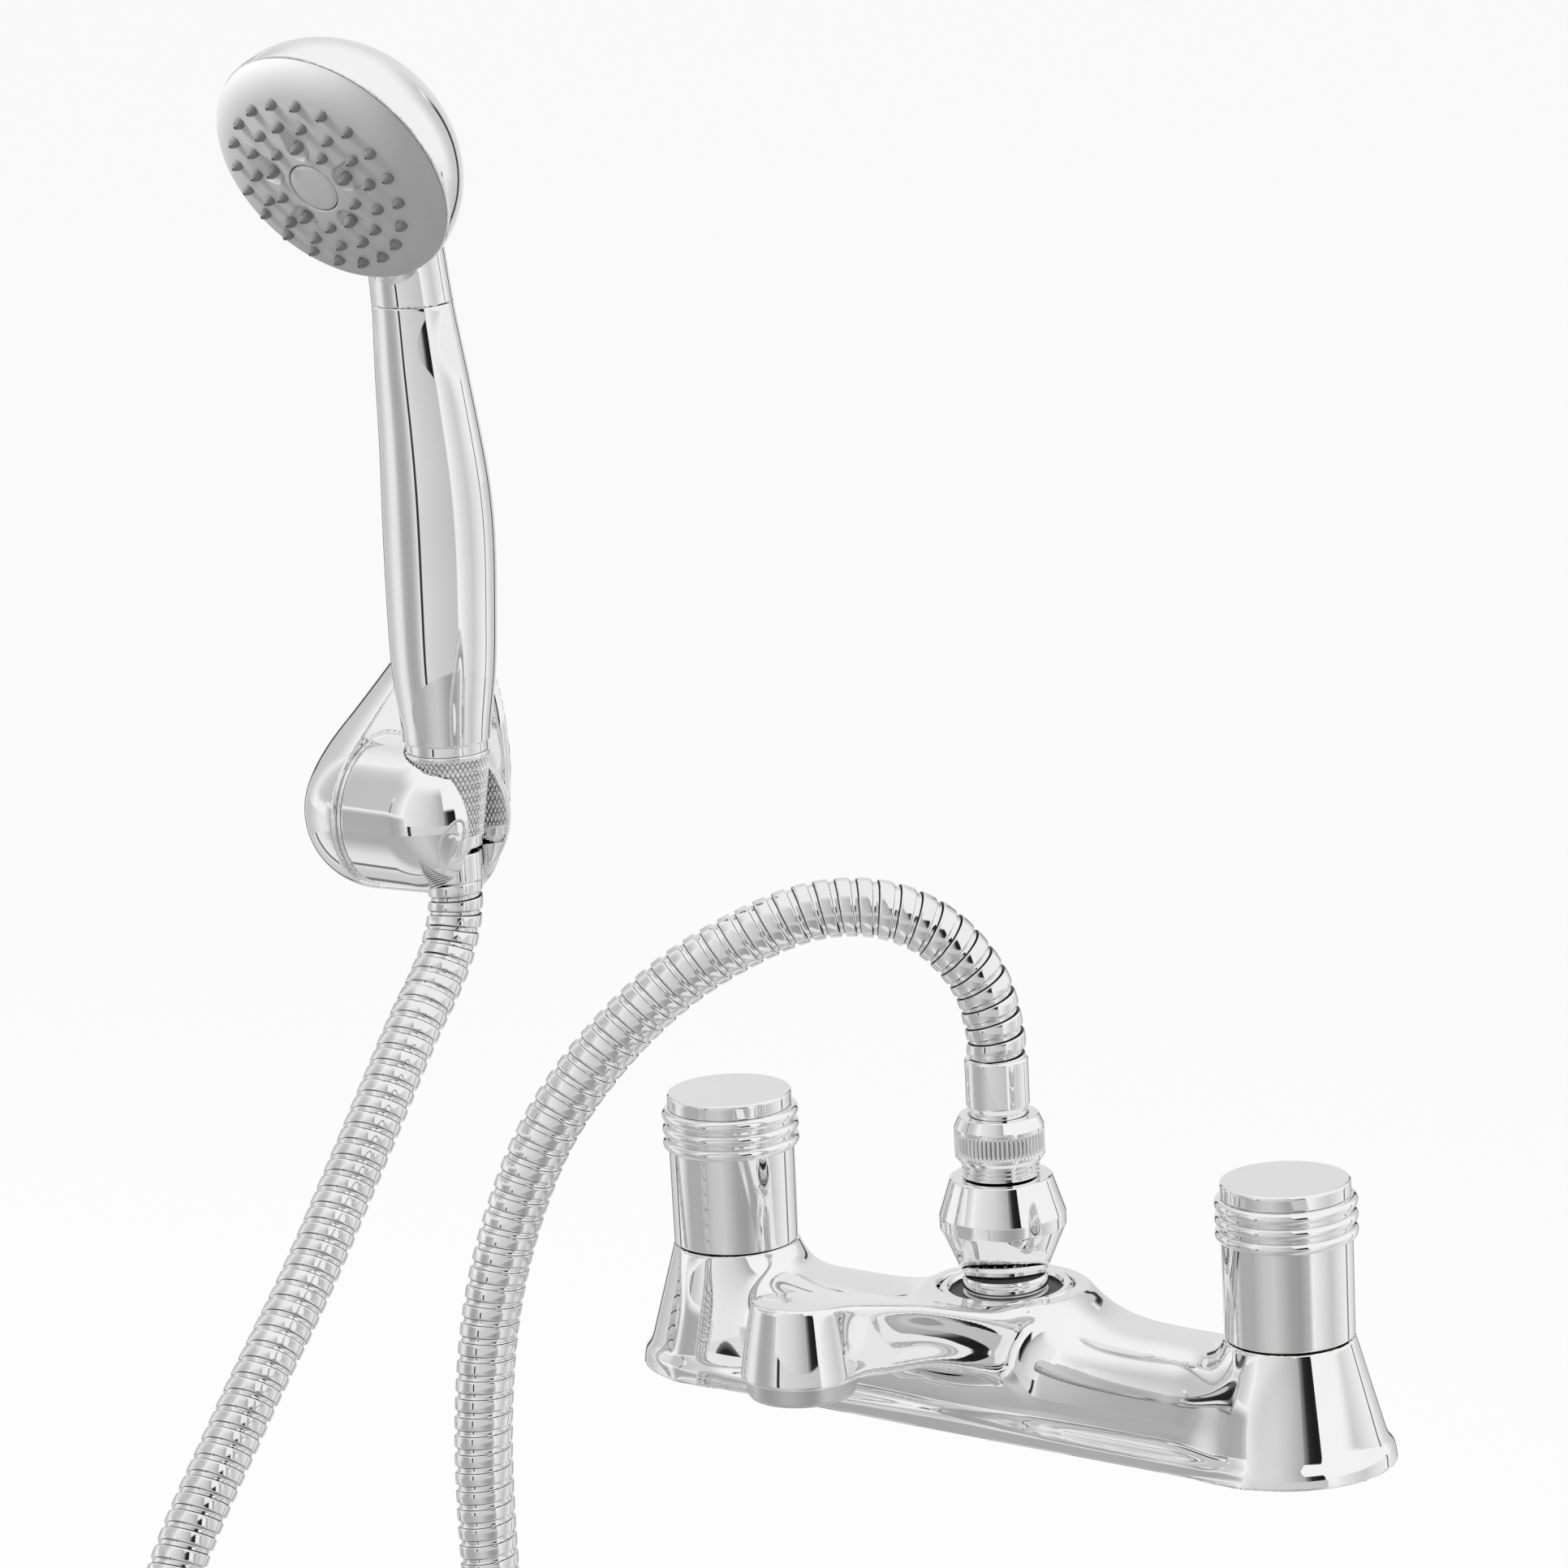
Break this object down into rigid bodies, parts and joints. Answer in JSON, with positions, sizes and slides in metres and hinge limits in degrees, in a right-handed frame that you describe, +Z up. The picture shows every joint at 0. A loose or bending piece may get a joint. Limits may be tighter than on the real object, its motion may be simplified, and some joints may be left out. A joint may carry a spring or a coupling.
{
  "type": "bath shower mixer",
  "caption": "Deck bath shower mixer with lift diverter, ribbed hose, domed handset and wall bracket with a swivelling cradle.",
  "frame": {"origin": "on the deck face, midway between the two inlets", "axes": "+Z up, +X from the hot tap to the cold tap, +Y towards the wall, the spout points to -Y"},
  "size_m": [0.3758, 0.211, 0.7439],
  "materials": {
    "chrome": "bright polished plating",
    "satin_chrome": "satin plating",
    "hose_chrome": "polished wound strip",
    "brass": "machined",
    "rubber": "moulded",
    "ceramic": "lapped ceramic",
    "white_plastic": "moulded",
    "grey_plastic": "fine matt",
    "nozzle_rubber": "moulded silicone",
    "steel": "plain"
  },
  "bodies": {
    "mixer": {"mixer_body": "chrome", "mixer_spout": "chrome", "deck_seals": "rubber", "outlet_ring": "satin_chrome", "flow_straightener": "white_plastic", "outlet_washer": "rubber", "diverter_flange": "chrome", "diverter_bush": "brass", "diverter_bush_seal": "rubber", "hot_valve_body": "brass", "hot_seat_seal": "rubber", "hot_fixed_disc": "ceramic", "cold_valve_body": "brass", "cold_seat_seal": "rubber", "cold_fixed_disc": "ceramic", "bracket_base": "chrome", "bracket_wall_plate": "steel", "bracket_grub_screw": "steel", "bracket_pivot_screw": "steel", "bracket_friction_washer": "white_plastic", "hose_mixer_stretch": "hose_chrome", "hose_loop": "hose_chrome", "hose_handset_stretch": "hose_chrome"},
    "hot_tap": {"hot_handle": "chrome", "hot_cap": "chrome", "hot_screw": "steel", "hot_spindle": "brass", "hot_turning_disc": "ceramic", "hot_spindle_seal": "rubber"},
    "cold_tap": {"cold_handle": "chrome", "cold_cap": "chrome", "cold_screw": "steel", "cold_spindle": "brass", "cold_turning_disc": "ceramic", "cold_spindle_seal": "rubber"},
    "diverter": {"diverter_knob": "chrome", "diverter_stem": "brass", "diverter_piston_seal": "rubber", "hose_nut": "chrome", "hose_nut_washer": "rubber", "mixer_ferrule": "chrome"},
    "cradle": {"bracket_cradle": "chrome"},
    "hose_end": {"handset_ferrule": "chrome"},
    "handset": {"cone_nut": "chrome", "cone_washer": "rubber", "inlet_collar": "chrome", "handset_handle": "chrome", "head_shell": "chrome", "face_seal": "rubber", "spray_plate": "grey_plastic", "nozzle_mat": "nozzle_rubber", "centre_screw": "steel", "centre_disc": "grey_plastic"}
  },
  "joints": [
    {"name": "hot_turn", "type": "hinge", "parent": "mixer", "child": "hot_tap", "pos_m": [-0.09, 0, 0.05], "axis": [0, 0, 1], "range_deg": [0, 90]},
    {"name": "cold_turn", "type": "hinge", "parent": "mixer", "child": "cold_tap", "pos_m": [0.09, 0, 0.05], "axis": [0, 0, 1], "range_deg": [-90, 0]},
    {"name": "diverter_lift", "type": "slide", "parent": "mixer", "child": "diverter", "axis": [0, 0, 1], "range_m": [0, 0.008], "deforming": ["hose_mixer_stretch"]},
    {"name": "cradle_tilt", "type": "hinge", "parent": "mixer", "child": "cradle", "pos_m": [-0.212, 0.035, 0.131], "axis": [1, 0, 0], "range_deg": [-10, 25], "deforming": ["hose_loop", "hose_handset_stretch"]},
    {"name": "handset_lift", "type": "slide", "parent": "cradle", "child": "hose_end", "axis": [0, 0, 1], "range_m": [0, 0.03], "deforming": ["hose_handset_stretch"]},
    {"name": "handset_turn", "type": "hinge", "parent": "hose_end", "child": "handset", "pos_m": [-0.212, 0.035, 0.149], "axis": [0, 0, 1], "range_deg": [-60, 60]}
  ]
}
